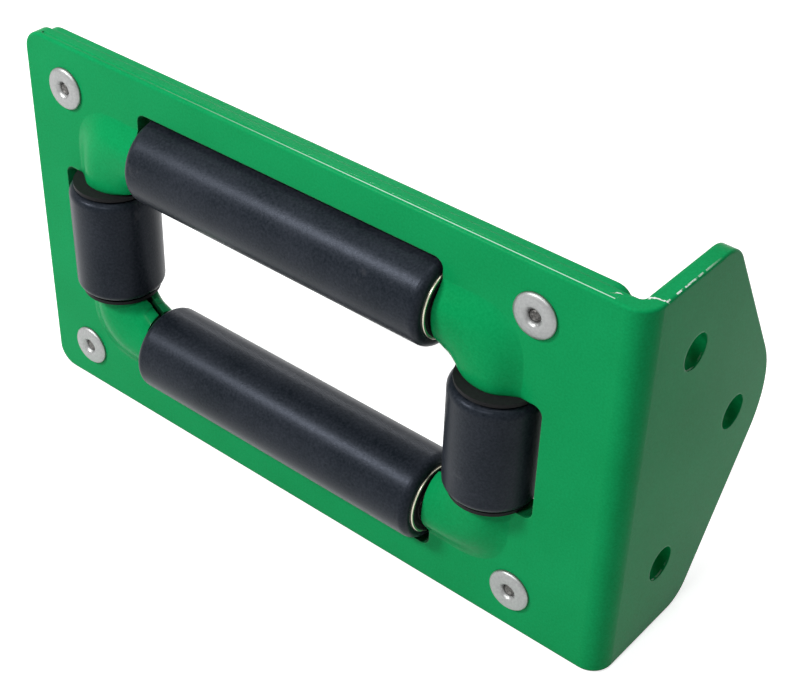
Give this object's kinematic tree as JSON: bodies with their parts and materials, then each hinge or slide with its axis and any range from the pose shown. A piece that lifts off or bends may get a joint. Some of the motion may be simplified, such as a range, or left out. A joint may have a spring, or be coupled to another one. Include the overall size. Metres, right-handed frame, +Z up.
{
  "type": "roller rope guide",
  "caption": "Bolt-on rope guide: formed steel sheets hold free-running rollers round a rectangular rope opening, with a bent mounting flange at one end.",
  "frame": {"origin": "centre of the rope opening, half way through the pair of sheets", "axes": "+X towards the mounting flange, +Y away from the front face, the way the flange points, +Z up"},
  "size_m": [0.2237, 0.0843, 0.1258],
  "materials": {
    "green_paint": "glossy powder coat",
    "roller_plastic": "semi-matte, turned",
    "shaft_steel": "ground",
    "bearing_steel": "fine ground",
    "seal_rubber": "matte",
    "washer_nylon": "matte",
    "rivet_metal": "satin",
    "mandrel_steel": "broken stem, dull"
  },
  "bodies": {
    "frame": {"front_plate": "green_paint", "back_plate": "green_paint", "rivet_sleeves": "rivet_metal", "rivet_mandrels": "mandrel_steel", "top_shaft": "shaft_steel", "top_inner_races": "bearing_steel", "top_washers": "washer_nylon", "bottom_shaft": "shaft_steel", "bottom_inner_races": "bearing_steel", "bottom_washers": "washer_nylon", "left_shaft": "shaft_steel", "left_inner_races": "bearing_steel", "left_washers": "washer_nylon", "right_shaft": "shaft_steel", "right_inner_races": "bearing_steel", "right_washers": "washer_nylon"},
    "top_roller": {"top_roller": "roller_plastic", "top_outer_races": "bearing_steel", "top_seals": "seal_rubber"},
    "top_ball_sets": {"top_balls": "bearing_steel"},
    "bottom_roller": {"bottom_roller": "roller_plastic", "bottom_outer_races": "bearing_steel", "bottom_seals": "seal_rubber"},
    "bottom_ball_sets": {"bottom_balls": "bearing_steel"},
    "left_roller": {"left_roller": "roller_plastic", "left_outer_races": "bearing_steel", "left_seals": "seal_rubber"},
    "left_ball_sets": {"left_balls": "bearing_steel"},
    "right_roller": {"right_roller": "roller_plastic", "right_outer_races": "bearing_steel", "right_seals": "seal_rubber"},
    "right_ball_sets": {"right_balls": "bearing_steel"}
  },
  "joints": [
    {"name": "top_roller_spin", "type": "hinge", "parent": "frame", "child": "top_roller", "pos_m": [0, 0, 0.03525], "axis": [1, 0, 0], "continuous": true},
    {"name": "top_ball_set_spin", "type": "hinge", "parent": "frame", "child": "top_ball_sets", "pos_m": [0, 0, 0.03525], "axis": [1, 0, 0], "continuous": true},
    {"name": "bottom_roller_spin", "type": "hinge", "parent": "frame", "child": "bottom_roller", "pos_m": [0, 0, -0.03525], "axis": [1, 0, 0], "continuous": true},
    {"name": "bottom_ball_set_spin", "type": "hinge", "parent": "frame", "child": "bottom_ball_sets", "pos_m": [0, 0, -0.03525], "axis": [1, 0, 0], "continuous": true},
    {"name": "left_roller_spin", "type": "hinge", "parent": "frame", "child": "left_roller", "pos_m": [-0.0745, 0, 0], "axis": [0, 0, 1], "continuous": true},
    {"name": "left_ball_set_spin", "type": "hinge", "parent": "frame", "child": "left_ball_sets", "pos_m": [-0.0745, 0, 0], "axis": [0, 0, 1], "continuous": true},
    {"name": "right_roller_spin", "type": "hinge", "parent": "frame", "child": "right_roller", "pos_m": [0.0745, 0, 0], "axis": [0, 0, 1], "continuous": true},
    {"name": "right_ball_set_spin", "type": "hinge", "parent": "frame", "child": "right_ball_sets", "pos_m": [0.0745, 0, 0], "axis": [0, 0, 1], "continuous": true}
  ],
  "couplings": [
    {"joint": "top_ball_set_spin", "follows": "top_roller_spin", "ratio": 0.5904},
    {"joint": "bottom_ball_set_spin", "follows": "bottom_roller_spin", "ratio": 0.5904},
    {"joint": "left_ball_set_spin", "follows": "left_roller_spin", "ratio": 0.5904},
    {"joint": "right_ball_set_spin", "follows": "right_roller_spin", "ratio": 0.5904}
  ]
}
